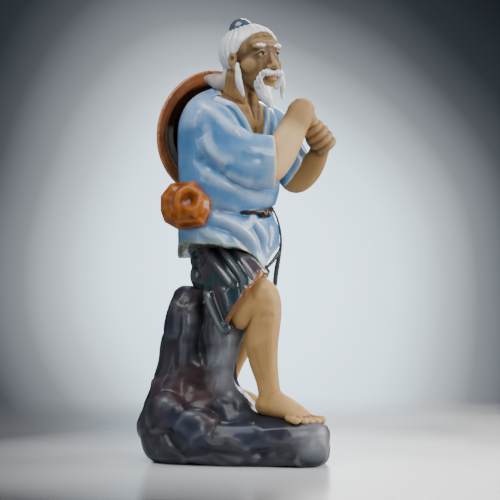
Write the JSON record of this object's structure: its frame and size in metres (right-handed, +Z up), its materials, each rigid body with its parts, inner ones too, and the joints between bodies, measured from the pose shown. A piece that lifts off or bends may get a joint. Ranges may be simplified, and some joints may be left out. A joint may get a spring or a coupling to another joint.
{
  "type": "figurine",
  "caption": "Glazed ceramic figurine of a bearded old fisherman stepping down from a tall rock, fists raised, straw hat on the back and gourd at the hip.",
  "frame": {"origin": "middle of the bounding box, on the ground the rock stands on", "axes": "+Z up, -Y towards the picture's viewer, +X to the viewer's right, the side the man steps towards"},
  "size_m": [0.1136, 0.0876, 0.25],
  "materials": {
    "clay": "matt unglazed stoneware skin",
    "blue_glaze": "glossy sky blue glaze, paler on the folds",
    "teal_glaze": "glossy dark teal and plum glaze",
    "rock_glaze": "glossy dark grey glaze with purple and navy streaks",
    "white_glaze": "glossy white glaze",
    "navy_glaze": "glossy navy glaze",
    "brown_glaze": "glossy chestnut brown glaze",
    "amber_glaze": "glossy amber glaze"
  },
  "bodies": {
    "root": {"figurine": "clay"}
  },
  "joints": []
}
